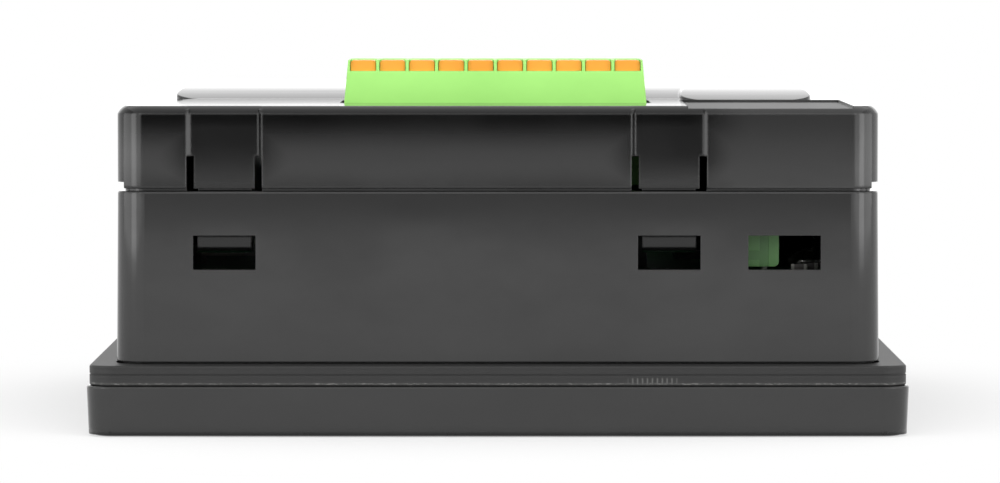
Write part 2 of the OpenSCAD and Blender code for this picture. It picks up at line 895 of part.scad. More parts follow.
capacitor_r = 5;
capacitor_h = 12;
capacitor_gap = 1.5;
capacitor_y = 10;

module filter_capacitors() {
    color([0.20, 0.22, 0.30])
        for (i = [0, 1])
            translate([board_w / 2 - capacitor_gap - capacitor_r - i * (2 * capacitor_r + capacitor_gap),
                       capacitor_y, io_top_z])
                cylinder(r = capacitor_r, h = capacitor_h);
}

inductor_side = 12;
inductor_flange = 1;
inductor_h = 6;
inductor_margin = 8;  // from the board's right edge
inductor_y = -8;

module power_inductor() {
    color([0.25, 0.25, 0.26])
        translate([board_w / 2 - inductor_margin - inductor_side / 2, inductor_y, io_top_z]) {
            standing_box(inductor_side, inductor_side, inductor_flange);
            cylinder(d = inductor_side - inductor_flange, h = inductor_h);
            translate([0, 0, inductor_h - inductor_flange])
                standing_box(inductor_side - inductor_flange, inductor_side - inductor_flange,
                             inductor_flange);
        }
}

relay_count = 4;
relay_w = 6.6;
relay_d = 17.5;
relay_h = 12.4;
relay_gap = 2.4;
relay_margin = 5;     // from the board's left edge
relay_y = 2;

module output_relays() {
    color([0.90, 0.90, 0.86])
        for (i = [0:relay_count - 1])
            translate([relay_margin - board_w / 2 + relay_w / 2 + i * (relay_w + relay_gap), relay_y,
                       io_top_z])
                standing_box(relay_w, relay_d, relay_h);
}

supply_board_x = body_w / 2 - supply_board_right - supply_board_w / 2;
supply_board_y = near_y + supply_board_setback + supply_board_t / 2;

module supply_board() {
    color([0.10, 0.32, 0.14])
        translate([supply_board_x, supply_board_y, io_top_z + supply_board_lift + supply_board_h / 2])
            rotate([90, 0, 0])
                linear_extrude(supply_board_t, center = true)
                    rounded_rect(supply_board_w, supply_board_h, 0.6);
}

// Angled pins between the upright board and the input and output board
module supply_board_pins() {
    side = 0.6;
    reach = 1.6;
    rise = 1.6;
    step = 2.54;
    middle_y = supply_board_y + (supply_board_t + reach) / 2;
    color(tinned)
        for (i = [-1, 0, 1])
            translate([supply_board_x + i * step, middle_y, io_top_z]) {
                translate([0, 0, rise - side]) standing_box(side, reach, side);
                translate([0, reach / 2 - side / 2, 0]) standing_box(side, side, rise);
            }
}

// Network jack: a plastic insert with a stepped mouth, in a sheet-metal shield

module network_jack() {
    inner_w = jack_w - 2 * jack_shield_t;
    inner_d = jack_d - 2 * jack_shield_t;
    far_y = jack_mouth_y + jack_mouth.y / 2;
    mouth_z = jack_h - jack_mouth.z;
    color([0.14, 0.14, 0.15])
        translate([jack_x, rear_row_y, io_top_z])
            difference() {
                standing_box(inner_w, inner_d, jack_h);
                translate([0, jack_mouth_y, mouth_z]) standing_box(jack_mouth.x, jack_mouth.y, jack_h);
                translate([-jack_key.x / 2, far_y - 1, mouth_z])
                    cube([jack_key.x, jack_key.y + 1, jack_h]);
                translate([-jack_latch.x / 2, far_y, mouth_z])
                    cube([jack_latch.x, jack_key.y + jack_latch.y, jack_h]);
            }
}

module jack_shield() {
    color(tinned)
        translate([jack_x, rear_row_y, io_top_z])
            linear_extrude(jack_h)
                rect_ring(jack_w, jack_d, jack_w - 2 * jack_shield_t, jack_d - 2 * jack_shield_t);
}

// A contact seen along X: up the mouth's near wall, round a true bend and slanting back into the mouth.
module jack_contact_profile() {
    inner_r = jack_contact_r - jack_contact_t;
    translate([0, -jack_contact_h]) square([jack_contact_t, jack_contact_h]);
    translate([jack_contact_r, 0]) {
        intersection() {
            difference() {
                circle(jack_contact_r);
                circle(inner_r);
            }
            translate([-jack_contact_r, 0]) square(2 * jack_contact_r);
        }
        rotate(jack_contact_slant)
            translate([inner_r, -jack_contact_fall]) square([jack_contact_t, jack_contact_fall + EPS]);
    }
}

module jack_contacts() {
    contact_pitch = 1.02;
    contacts = 8;
    color(brass)
        for (i = [0:contacts - 1])
            translate([jack_x + (i - (contacts - 1) / 2) * contact_pitch,
                       rear_row_y + jack_mouth_y - jack_mouth.y / 2,
                       io_top_z + jack_h - jack_mouth.z + jack_contact_h])
                rotate([90, 0, 90])
                    linear_extrude(jack_contact_w, center = true) jack_contact_profile();
}

// Headers and pins

pin_side = 0.8;
pin_hole_r = 0.65;
pin_tail = 1.4;
pin_rise = 8.2;

module at_poles(count, x, y) {
    for (i = [0:count - 1]) translate([x + (i - (count - 1) / 2) * pitch, y, 0]) children();
}

module open_header(count, x, y) {
    w = count * pitch + 2 * plug_foot_margin;
    hole = pin_side + 2 * pin_clear;
    translate([x, y, io_top_z])
        difference() {
            standing_box(w, header_t, header_h);
            translate([0, 0, header_floor])
                standing_box(w - 2 * header_wall, header_t - 2 * header_wall, header_h);
            at_poles(count, 0, 0) translate([0, 0, -1]) standing_box(hole, hole, header_floor + 2);
        }
}

module pin_row(count, x, y) {
    at_poles(count, x, y)
        translate([0, 0, io_board_z - pin_tail])
            standing_box(pin_side, pin_side, pin_tail + board_t + pin_rise);
}

module plug_header() {
    color([0.16, 0.42, 0.16]) open_header(poles, plug_x, header_y);
}

module supply_header() {
    color([0.16, 0.42, 0.16]) open_header(supply_poles, supply_x, rear_row_y);
}

module header_pins() {
    color(tinned) pin_row(poles, plug_x, header_y);
}

module supply_pins() {
    color(tinned) pin_row(supply_poles, supply_x, rear_row_y);
}

// Terminal plug: a tapered body with a cell for each pole

nose_w = header_w - 2 * header_wall - 2 * fit_clear;
nose_t = header_t - 2 * header_wall - 2 * fit_clear;
nose_z = io_top_z + header_floor + 0.5;
plug_near_y = plug_y - plug_t / 2;
channel_y = plug_near_y + channel_wall + channel_t / 2;
entry_mid_y = plug_y + entry_y;
contact_side = 1.8;
chamber_w = 2.8;
chamber_near_y = plug_near_y + channel_wall + 0.2;
chamber_far_y = entry_mid_y + entry_t / 2 + 0.2;

module plug_outline() {
    half = plug_foot_w / 2;
    polygon([[-half, plug_z], [half, plug_z], [half, ledge_z - 1],
             [half - plug_taper, plug_top_z], [plug_taper - half, plug_top_z], [-half, ledge_z - 1]]);
}

// Everything that is hollow in one pole's cell, with the pole at x = 0.
module plug_cell() {
    translate([0, channel_y, chamber_top_z - button_travel - drop_clear])
        standing_box(channel_w, channel_t + 2 * slide_clear, plug_top_z);
    translate([0, plug_near_y, plug_top_z - notch_h])
        standing_box(channel_w, 2 * channel_wall + 1, notch_h + 1);
    translate([0, entry_mid_y, chamber_top_z - EPS]) standing_box(entry_w, entry_t, plug_top_z);
    translate([0, entry_mid_y, plug_top_z - entry_lead])
        rotate([90, 0, 90])
            linear_extrude(entry_w + 0.4, center = true)
                polygon([[-entry_t / 2, -EPS], [entry_t / 2, -EPS],
                         [entry_t / 2 + entry_lead, entry_lead + EPS],
                         [-entry_t / 2 - entry_lead / 2, entry_lead + EPS]]);
    translate([-chamber_w / 2, chamber_near_y, chamber_z])
        cube([chamber_w, chamber_far_y - chamber_near_y, chamber_h]);
    translate([0, header_y, nose_z - 1])
        standing_box(contact_side + 2 * fit_clear, contact_side + 2 * fit_clear, chamber_z - nose_z + 2);
}

module plug_body() {
    color(terminal_green)
        difference() {
            union() {
                translate([plug_x, plug_y, 0])
                    rotate([90, 0, 0]) linear_extrude(plug_t, center = true) plug_outline();
                translate([plug_x, header_y, nose_z])
                    standing_box(nose_w, nose_t, plug_z - nose_z + EPS);
            }
            at_poles(poles, plug_x, 0) plug_cell();
        }
}

contact_h = chamber_z - nose_z;
contact_reach = 1.3;  // hollow of the contact, past the pin's tip
cage_t = 0.35;

module plug_contacts() {
    color(brass)
        at_poles(poles, plug_x, 0) {
            translate([0, header_y, nose_z])
                difference() {
                    standing_box(contact_side, contact_side, contact_h);
                    translate([0, 0, -1])
                        standing_box(pin_side + 2 * pin_clear, pin_side + 2 * pin_clear,
                                     io_top_z + pin_rise - nose_z + contact_reach);
                }
            translate([0, (header_y + chamber_far_y) / 2, chamber_z])
                standing_box(contact_side, chamber_far_y - header_y - 2 * fit_clear, cage_t);
            translate([0, chamber_far_y - cage_t / 2 - fit_clear, chamber_z])
                standing_box(contact_side, cage_t, chamber_h - fit_clear);
        }
}

// Clamp springs: a foot on the chamber floor, a true bend and a leg under the button's foot

spring_t = 0.3;
spring_w = 2.2;
spring_clear = 0.1;
spring_tip_h = 1.4;

module clamp_spring(i) {
    bend_r = (button_foot_z - spring_clear - chamber_z) / 2;
    bend_y = chamber_near_y + bend_r + spring_clear;
    foot_len = header_y - contact_side / 2 - fit_clear - bend_y;
    leg_len = entry_mid_y - entry_t / 2 - bend_y;
    color(tinned)
        translate([plug_x + (i - (poles + 1) / 2) * pitch, bend_y, chamber_z + bend_r])
            rotate([90, 0, 90])
                linear_extrude(spring_w, center = true)
                    union() {
                        translate([0, -bend_r]) square([foot_len, spring_t]);
                        difference() {
                            circle(bend_r);
                            circle(bend_r - spring_t);
                            translate([0, -2 * bend_r]) square([2 * bend_r, 4 * bend_r]);
                        }
                        translate([0, bend_r - spring_t]) square([leg_len, spring_t]);
                        translate([leg_len - spring_t, bend_r - spring_tip_h])
                            square([spring_t, spring_tip_h]);
                    }
}

// Release buttons: a stem in its channel and a foot that keeps it in

stem_t = channel_t;
button_top_z = plug_top_z - 0.05;
button_foot_z = chamber_top_z - 0.05 - foot_t;

module release_button(i) {
    x = plug_x + (i - (poles + 1) / 2) * pitch;
    crown_r = 0.35;
    foot_near_y = chamber_near_y + fit_clear;
    foot_far_y = channel_y + stem_t / 2 + foot_overhang;
    slot_w = 0.6;
    color(release_orange)
        translate([x, 0, 0])
            difference() {
                union() {
                    translate([0, channel_y, 0])
                        rotate([90, 0, 0])
                            linear_extrude(stem_t, center = true)
                                difference() {
                                    translate([-button_w / 2, button_foot_z + foot_t - EPS])
                                        square([button_w, button_top_z - button_foot_z - foot_t + EPS]);
                                    for (side = [-1, 1])
                                        translate([side * button_w / 2, button_top_z])
                                            corner_waste(crown_r, -side, -1);
                                }
                    translate([-chamber_w / 2 + fit_clear, foot_near_y, button_foot_z])
                        cube([chamber_w - 2 * fit_clear, foot_far_y - foot_near_y, foot_t]);
                }
                translate([0, channel_y, button_top_z - 0.5]) standing_box(slot_w * 3, slot_w, 1);
            }
}

front_frame();
front_overlay();
display_window();
display_cell();
display_backlight();
display_tray();
display_pad();
panel_gasket();
housing();
rear_cover();
frame_screws();
main_board();
io_board();
board_spacers();
board_screws();
display_ribbon();
board_link();
processor();
memory_chips();
backup_battery();
battery_clip();
signal_parts();
filter_capacitors();
power_inductor();
output_relays();
supply_board();
supply_board_pins();
network_jack();
jack_shield();
jack_contacts();
supply_header();
supply_pins();
plug_header();
header_pins();
plug_body();
plug_contacts();
clamp_spring(1);  // clamp_spring_01
clamp_spring(2);  // clamp_spring_02
clamp_spring(3);  // clamp_spring_03
clamp_spring(4);  // clamp_spring_04
clamp_spring(5);  // clamp_spring_05
clamp_spring(6);  // clamp_spring_06
clamp_spring(7);  // clamp_spring_07
clamp_spring(8);  // clamp_spring_08
clamp_spring(9);  // clamp_spring_09
clamp_spring(10);  // clamp_spring_10
release_button(1);  // release_button_01
release_button(2);  // release_button_02
release_button(3);  // release_button_03
release_button(4);  // release_button_04
release_button(5);  // release_button_05
release_button(6);  // release_button_06
release_button(7);  // release_button_07
release_button(8);  // release_button_08
release_button(9);  // release_button_09
release_button(10);  // release_button_10
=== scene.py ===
# %% [markdown]
# # A panel-mounted logic controller, lying on its front
#
# The object is a square box of black moulded plastic, 96 mm wide. It lies face down on its front
# frame, so the camera sees one side wall, the snapped rear cover above it and a light green
# terminal plug with ten orange release buttons. The solids come from the CAD model. This lesson
# gives each of them a finish, replaces a few small parts by finer ones, and lights the whole as a
# plain product photograph.

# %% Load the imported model
import bpy
import numpy as np
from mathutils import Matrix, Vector


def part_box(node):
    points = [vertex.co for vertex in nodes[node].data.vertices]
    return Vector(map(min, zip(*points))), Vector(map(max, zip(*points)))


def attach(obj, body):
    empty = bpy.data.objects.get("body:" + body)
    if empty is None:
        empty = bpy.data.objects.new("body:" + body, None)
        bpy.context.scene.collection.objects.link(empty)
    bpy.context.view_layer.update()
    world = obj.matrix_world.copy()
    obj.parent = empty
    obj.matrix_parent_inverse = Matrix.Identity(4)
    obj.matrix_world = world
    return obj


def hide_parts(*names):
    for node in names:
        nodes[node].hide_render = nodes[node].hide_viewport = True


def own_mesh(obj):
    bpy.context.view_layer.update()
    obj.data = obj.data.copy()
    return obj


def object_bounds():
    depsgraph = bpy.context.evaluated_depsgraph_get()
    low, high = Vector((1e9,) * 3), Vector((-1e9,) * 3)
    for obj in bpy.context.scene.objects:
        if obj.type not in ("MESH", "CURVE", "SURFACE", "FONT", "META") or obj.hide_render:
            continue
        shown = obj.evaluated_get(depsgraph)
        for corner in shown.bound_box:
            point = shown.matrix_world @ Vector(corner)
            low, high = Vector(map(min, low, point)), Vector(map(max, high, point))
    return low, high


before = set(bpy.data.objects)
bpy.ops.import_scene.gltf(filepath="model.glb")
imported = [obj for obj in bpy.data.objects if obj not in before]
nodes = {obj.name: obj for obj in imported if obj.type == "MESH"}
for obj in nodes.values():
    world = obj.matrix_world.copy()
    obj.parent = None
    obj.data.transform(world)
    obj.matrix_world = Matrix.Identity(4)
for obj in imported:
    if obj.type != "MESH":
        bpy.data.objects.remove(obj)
cad_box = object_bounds()
scene = bpy.context.scene
scene.view_settings.view_transform = "Standard"
MM = 0.001
cad_size_mm = [round(float(b - a) / MM, 2) for a, b in zip(*cad_box)]
print("nodes:", len(nodes), "size in mm:", cad_size_mm)

# %% [markdown]
# ## Camera
#
# The photograph was taken with a long lens from about 0.6 m, a little above the rear cover, square
# to the near wall. A long lens keeps the walls almost parallel. The height decides how thin the top
# face looks, so it is taken from the photograph: the camera stands 55 mm above the table.

# %% Camera at the photograph's angle
camera = bpy.data.objects.new("camera", bpy.data.cameras.new("camera"))
scene.collection.objects.link(camera)
camera.data.lens, camera.data.sensor_width = 185.55, 36
near_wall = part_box("housing")[0].y
# In metres: the distance from the near wall, x and z of the camera, x and z of its aim on the wall.
wall_distance, camera_x, camera_z, aim_x, aim_z = 0.6, 0.00046, 0.05516, 0.00026, 0.02262
camera.location = (camera_x, near_wall - wall_distance, camera_z)
camera_aim = Vector((aim_x, near_wall, aim_z))
camera.rotation_euler = (camera_aim - camera.location).to_track_quat("-Z", "Y").to_euler()
scene.camera = camera
print("camera stands", round((camera_aim - camera.location).length, 3), "m from its aim")

# %% [markdown]
# ## Four small helpers for materials
#
# Colours are written as sRGB hex values, as a colour picker gives them, and Blender's shaders want
# linear light, so one function turns them. A second adds any node with its settings and its links.
# A third starts a material with one Principled shader and hands back the Object coordinates, which
# are metres here. A pattern's scale is one over its size in metres, and the fourth works that out.

# %% Colour, node and material helpers
def linear(hex_colour):
    """sRGB hex to linear RGBA: c / 12.92 up to 0.04045, above it ((c + 0.055) / 1.055) ** 2.4."""
    c = np.array([int(hex_colour[i:i + 2], 16) for i in (1, 3, 5)]) / 255
    return (*np.where(c <= 0.04045, c / 12.92, ((c + 0.055) / 1.055) ** 2.4).tolist(), 1.0)


def add_node(tree, kind, settings=None, sockets=None):
    """Adds a node: settings are its own fields, sockets its inputs, each a value or an output."""
    node = tree.nodes.new(kind)
    for field, value in (settings or {}).items():
        setattr(node, field, value)
    for name, value in (sockets or {}).items():
        if isinstance(value, bpy.types.NodeSocket):
            tree.links.new(value, node.inputs[name])
        else:
            node.inputs[name].default_value = value
    return node


def new_material(name, colour=None, **values):
    """A material with one Principled shader, plain in its colour if one is given. The values are
    more of the shader's sockets, with _ for a space."""
    material = bpy.data.materials.new(name)
    material.use_nodes = True
    tree = material.node_tree
    shader = tree.nodes["Principled BSDF"]
    if colour:
        shader.inputs["Base Color"].default_value = linear(colour)
    for key, value in values.items():
        shader.inputs[key.replace("_", " ")].default_value = value
    coords = add_node(tree, "ShaderNodeTexCoord").outputs["Object"]
    return material, tree, shader, coords


def per_metre(size_mm):
    """Scale of a pattern whose feature is size_mm across."""
    return 1 / (size_mm * MM)


print("mid grey #808080 in linear light:", round(linear("#808080")[0], 4))

# %% [markdown]
# ## Moulded plastic
#
# Plastic takes on the face of its steel mould, polished or grained. Three things make it look real:
# a very fine grain that breaks up reflections, slow bands where the plastic flowed, and edges never
# quite sharp. The grain is a bump, the flow is a stretched noise that changes colour and roughness
# a little, and the Bevel node rounds the shading of each edge without touching the mesh. All
# moulded plastics here share this.

# %% Moulded plastic, in any colour
def moulded_plastic(name, colour, darker, roughness, grain_mm, grain_depth_mm, edge_mm,
                    flow_mm=(16, 16, 9)):
    """Colour runs to darker with the flow, and the roughness swings with it by 0.03 each way; the
    bump is the grain."""
    material, tree, shader, coords = new_material(name, IOR=1.5)
    stretched = add_node(tree, "ShaderNodeMapping", {},
                         {"Vector": coords, "Scale": [per_metre(v) for v in flow_mm]})
    flow = add_node(tree, "ShaderNodeTexNoise", {},
                    {"Vector": stretched.outputs[0], "Scale": 1.0, "Detail": 4.0,
                     "Roughness": 0.6}).outputs["Fac"]
    ramp = add_node(tree, "ShaderNodeMapRange", {},
                    {"Value": flow, "From Min": 0.35, "From Max": 0.65})
    tone = add_node(tree, "ShaderNodeMix", {"data_type": "RGBA"},
                    {"Factor": ramp.outputs[0], 6: linear(colour), 7: linear(darker)})
    gloss = add_node(tree, "ShaderNodeMapRange", {},
                     {"Value": flow, "From Min": 0.3, "From Max": 0.7,
                      "To Min": roughness - 0.03, "To Max": roughness + 0.03})
    grain = add_node(tree, "ShaderNodeTexNoise", {},
                     {"Vector": coords, "Scale": per_metre(grain_mm), "Detail": 2.0})
    rounded = add_node(tree, "ShaderNodeBevel", {"samples": 4}, {"Radius": edge_mm * MM})
    bump = add_node(tree, "ShaderNodeBump", {},
                    {"Height": grain.outputs["Fac"], "Distance": grain_depth_mm * MM,
                     "Strength": 1.0, "Normal": rounded.outputs[0]})
    tree.links.new(tone.outputs[2], shader.inputs["Base Color"])
    tree.links.new(gloss.outputs[0], shader.inputs["Roughness"])
    tree.links.new(bump.outputs[0], shader.inputs["Normal"])
    return material, tree, shader, coords


# Black ABS out of a polished mould: a dark body under a nearly mirror-like skin, so the walls show
# the front edge of the table and the lamps, and the rear face turns white at a grazing angle.
abs_housing = moulded_plastic("moulded_abs_housing", "#2c2c2c", "#282828",
                              0.07, 0.35, 0.0004, 0.12)[0]
abs_frame = moulded_plastic("moulded_abs_front", "#282828", "#252525", 0.14, 0.35, 0.001, 0.2)[0]
# Polyamide of the terminals: pale green and orange, satin.
nylon_green = moulded_plastic("moulded_polyamide_green", "#a9ee7b", "#a2e775",
                              0.4, 0.3, 0.004, 0.12)[0]
nylon_orange = moulded_plastic("moulded_polyamide_orange", "#f9a737", "#f0992b",
                               0.36, 0.3, 0.003, 0.15)[0]
# The two headers on the board are given a very dark, dull green as painted shade, so the slots in
# front of them stay dark.
nylon_header_shaded = moulded_plastic("moulded_polyamide_header_shaded", "#151b15", "#131813",
                               0.5, 0.3, 0.004, 0.1)[0]
# Black thermoplastic of the jack, the board connector and the chip bodies.
black_filled = moulded_plastic("moulded_polyester_black", "#1c1c1d", "#18181a",
                               0.5, 0.2, 0.006, 0.08)[0]
# Pale ABS of the relay cases, satin.
relay_abs = moulded_plastic("moulded_relay_case", "#e4e2d8", "#dedccf", 0.32, 0.3, 0.003, 0.2)[0]
print("moulded plastics:", len([m for m in bpy.data.materials if m.name.startswith("moulded")]))

# %% [markdown]
# ## Rear cover
#
# The rear cover is the same ABS, with tall thin walls. Its colour is painted darker towards the
# wall's upper and lower edges and round the two snap tongues, which are thinner and stand back:
# this is painted shade. Two distances in the Object coordinates say where: that of the height from
# the wall's middle, and that in X from the nearer tongue. Taking the size of a size folds both
# tongues onto one. The sunk shelf in the rear face was left rough in the mould, so it shows the
# white room as a dull grey.

# %% Rear cover, with painted shade at its edges and round its tongues
abs_cover, tree, shader, coords = moulded_plastic("moulded_abs_cover", "#333333", "#303030",
                                                  0.07, 0.35, 0.0004, 0.3)
tongue_mm = (-31.9, 20.0)
wall_middle_mm = 32.2
axes = add_node(tree, "ShaderNodeSeparateXYZ", {}, {"Vector": coords})
# |z - middle| for the wall, and ||x - middle| - half the spacing| for the tongues.
folded = []
for axis, centres_mm in (("Z", (wall_middle_mm,)),
                         ("X", (sum(tongue_mm) / 2, (tongue_mm[1] - tongue_mm[0]) / 2))):
    value = axes.outputs[axis]
    for centre_mm in centres_mm:
        away = add_node(tree, "ShaderNodeMath", {"operation": "SUBTRACT"},
                        {0: value, 1: centre_mm * MM}).outputs[0]
        value = add_node(tree, "ShaderNodeMath", {"operation": "ABSOLUTE"}, {0: away}).outputs[0]
    folded.append(value)
# Each mask goes smoothly from its fourth number to its fifth between two places in mm. The first
# two together give the painted shade at the edges, the last two the painted shade round the
# tongues.
masks = [add_node(tree, "ShaderNodeMapRange", {"interpolation_type": "SMOOTHSTEP"},
                  {"Value": value, "From Min": start_mm * MM, "From Max": end_mm * MM,
                   "To Min": start, "To Max": end}).outputs[0]
         for value, start_mm, end_mm, start, end in (
             (folded[0], 0.4, 4.9, 0.0, 1.0), (axes.outputs["X"], 22, 30, 1.0, 0.3),
             (folded[1], 3.2, 8, 0.82, 0.0), (axes.outputs["Z"], 28.5, 33, 0.68, 1.0))]
painted_shade_shares = [add_node(tree, "ShaderNodeMath", {"operation": "MULTIPLY"},
                   {0: first, 1: second}).outputs[0]
          for first, second in (masks[:2], masks[2:])]
share = add_node(tree, "ShaderNodeMath", {"operation": "MAXIMUM"}, {0: painted_shade_shares[0], 1: painted_shade_shares[1]})
flowing = shader.inputs["Base Color"].links[0].from_socket
# Painted shade: the flowing colour is mixed towards near black by that share.
tone = add_node(tree, "ShaderNodeMix", {"data_type": "RGBA"},
                {"Factor": share.outputs[0], 6: flowing, 7: linear("#080808")})
tree.links.new(tone.outputs[2], shader.inputs["Base Color"])
# The sunk shelf: its roughness, times a mask that is 1 inside four limits.
rough = 0.5
for axis, side, limit_mm in (("X", "GREATER_THAN", 22.1), ("X", "LESS_THAN", 41.5),
                             ("Y", "LESS_THAN", -17.3), ("Z", "GREATER_THAN", 38.0)):
    within = add_node(tree, "ShaderNodeMath", {"operation": side},
                      {0: axes.outputs[axis], 1: limit_mm * MM})
    rough = add_node(tree, "ShaderNodeMath", {"operation": "MULTIPLY"},
                     {0: within.outputs[0], 1: rough}).outputs[0]
gloss = add_node(tree, "ShaderNodeMath", {"operation": "MAXIMUM"},
                 {0: shader.inputs["Roughness"].links[0].from_socket, 1: rough})
tree.links.new(gloss.outputs[0], shader.inputs["Roughness"])
print("tongues at x, mm:", tongue_mm)

# %% [markdown]
# ## Rubber gasket
#
# The gasket is a black rubber ring. Cut or pressed rubber is duller than the plastic and shows fine
# lines along its edge. A wave over the height gives those lines, and a coarser noise makes the face
# uneven. Low on its edge a thin band is a little paler and carries broken pale specks: a noise that
# is cut off high leaves a few of them, and a mask over the height keeps them in the band. Right of
# the middle a short row of upright ticks is painted paler, as painted highlights where light
# catches small ridges: a sine over X inside a box of masks.

# %% Rubber with fine lines along its edge
def bands(size_mm):
    """Scale of a wave texture with one line each size_mm: it draws the sine of 20 * scale * x."""
    return per_metre(size_mm) * np.pi / 10


def pressed_rubber(name, line_mm, speck_z_mm, tick_mm):
    """Bump height: a sine over Z with one line each line_mm, and a noise 0.8 mm across on top.
    Specks: a noise above 0.5, times a mask that is 1 near speck_z_mm. Ticks: a sine over X with one
    tick each tick_mm, cut off high, times masks that are 1 near a place in X, in Y and in Z."""
    material, tree, shader, coords = new_material(name, IOR=1.52, Roughness=0.5,
                                                  Specular_IOR_Level=0.3)
    axes = add_node(tree, "ShaderNodeSeparateXYZ", {}, {"Vector": coords})
    masks = []
    for axis, centre_mm, inner_mm, outer_mm in (
            ("Z", speck_z_mm, 0.06, 0.16), ("X", 18, 2.7, 3), ("Y", -47.6, 0.5, 1),
            ("Z", speck_z_mm + 0.3, 0.25, 0.5)):
        away = add_node(tree, "ShaderNodeMath", {"operation": "SUBTRACT"},
                        {0: axes.outputs[axis], 1: centre_mm * MM})
        away = add_node(tree, "ShaderNodeMath", {"operation": "ABSOLUTE"}, {0: away.outputs[0]})
        masks.append(add_node(tree, "ShaderNodeMapRange", {"interpolation_type": "SMOOTHSTEP"},
                              {"Value": away.outputs[0], "From Min": inner_mm * MM,
                               "From Max": outer_mm * MM, "To Min": 1.0,
                               "To Max": 0.0}).outputs[0])
    # The ticks are painted highlights: pale marks where light would catch small ridges.
    painted_tick_highlights = add_node(tree, "ShaderNodeTexWave", {"bands_direction": "X", "wave_profile": "SIN"},
                     {"Vector": coords, "Scale": bands(tick_mm), "Distortion": 1.0})
    painted_tick_highlights = add_node(tree, "ShaderNodeMapRange", {},
                     {"Value": painted_tick_highlights.outputs["Fac"], "From Min": 0.6, "To Max": 0.6}).outputs[0]
    for mask in masks[1:]:
        painted_tick_highlights = add_node(tree, "ShaderNodeMath", {"operation": "MULTIPLY"},
                         {0: painted_tick_highlights, 1: mask}).outputs[0]
    stretched = add_node(tree, "ShaderNodeMapping", {},
                         {"Vector": coords, "Scale": [per_metre(v) for v in (0.9, 0.9, 0.3)]})
    speck_noise = add_node(tree, "ShaderNodeTexNoise", {},
                    {"Vector": stretched.outputs[0], "Scale": 1.0, "Detail": 6.0,
                     "Roughness": 0.7})
    speck_noise = add_node(tree, "ShaderNodeMapRange", {},
                    {"Value": speck_noise.outputs["Fac"], "From Min": 0.5, "From Max": 0.62,
                     "To Min": 0.2})
    specks = add_node(tree, "ShaderNodeMath", {"operation": "MULTIPLY"},
                      {0: speck_noise.outputs[0], 1: masks[0]})
    pale = add_node(tree, "ShaderNodeMath", {"operation": "MAXIMUM"},
                    {0: specks.outputs[0], 1: painted_tick_highlights})
    tone = add_node(tree, "ShaderNodeMix", {"data_type": "RGBA"},
                    {"Factor": pale.outputs[0], 6: linear("#292929"), 7: linear("#666664")})
    tree.links.new(tone.outputs[2], shader.inputs["Base Color"])
    lines = add_node(tree, "ShaderNodeTexWave", {"bands_direction": "Z", "wave_profile": "SIN"},
                     {"Vector": coords, "Scale": bands(line_mm), "Distortion": 0.6})
    pits = add_node(tree, "ShaderNodeTexNoise", {},
                    {"Vector": coords, "Scale": per_metre(0.8), "Detail": 3.0})
    first = add_node(tree, "ShaderNodeBump", {},
                     {"Height": lines.outputs["Fac"], "Distance": 0.01 * MM})
    second = add_node(tree, "ShaderNodeBump", {},
                      {"Height": pits.outputs["Fac"], "Distance": 0.02 * MM,
                       "Normal": first.outputs[0]})
    tree.links.new(second.outputs[0], shader.inputs["Normal"])
    return material


gasket_line_mm, gasket_speck_z_mm, gasket_tick_mm = 0.6, 6.2, 0.57
gasket_rubber = pressed_rubber("pressed_rubber", gasket_line_mm, gasket_speck_z_mm, gasket_tick_mm)
# Foam of the display's pad: matt and dark, with cells 0.4 mm across.
foam, tree, shader, coords = new_material("open_cell_foam", "#262626", Roughness=0.95)
cells = add_node(tree, "ShaderNodeTexVoronoi", {}, {"Vector": coords, "Scale": per_metre(0.4)})
bump = add_node(tree, "ShaderNodeBump", {},
                {"Height": cells.outputs["Distance"], "Distance": 0.2 * MM})
tree.links.new(bump.outputs[0], shader.inputs["Normal"])
print("gasket: a line each", gasket_line_mm, "mm, a tick each", gasket_tick_mm, "mm")

# %% [markdown]
# ## Metals
#
# Tinned copper, stainless spring strip, brass and gold plating differ in colour and in how they
# were made. Sheet is rolled, so its scratches run one way. Pins are drawn and then tinned, which
# leaves a soft, slightly uneven shine. A stretched noise in the bump and in the roughness shows it.

# %% Metals, by how they were made
def rolled_metal(name, colour, roughness, scratch_mm=(6, 0.05, 0.05), metallic=1.0):
    """Roughness swings by 0.08 with a noise that is stretched along the rolling direction."""
    material, tree, shader, coords = new_material(name, colour, Metallic=metallic)
    along = add_node(tree, "ShaderNodeMapping", {},
                     {"Vector": coords, "Scale": [per_metre(v) for v in scratch_mm]})
    scratches = add_node(tree, "ShaderNodeTexNoise", {},
                         {"Vector": along.outputs[0], "Scale": 1.0, "Detail": 3.0}).outputs["Fac"]
    spread = add_node(tree, "ShaderNodeMapRange", {},
                      {"Value": scratches, "To Min": roughness - 0.08,
                       "To Max": roughness + 0.08})
    bump = add_node(tree, "ShaderNodeBump", {}, {"Height": scratches, "Distance": 0.004 * MM})
    tree.links.new(spread.outputs[0], shader.inputs["Roughness"])
    tree.links.new(bump.outputs[0], shader.inputs["Normal"])
    return material


rolled_steel = rolled_metal("rolled_tinned_steel", "#c9c9c6", 0.28)
spring_strip = rolled_metal("stainless_spring_strip", "#c2c3c4", 0.24, (0.05, 4, 0.05))
tinned_copper = rolled_metal("tinned_copper", "#d2d1cb", 0.3, (0.4, 0.4, 3))
brass_metal = rolled_metal("turned_brass", "#d9b566", 0.26, (0.05, 0.05, 3))
gold_plate = rolled_metal("gold_plated_wire", "#f0c65a", 0.2, (0.1, 3, 3))
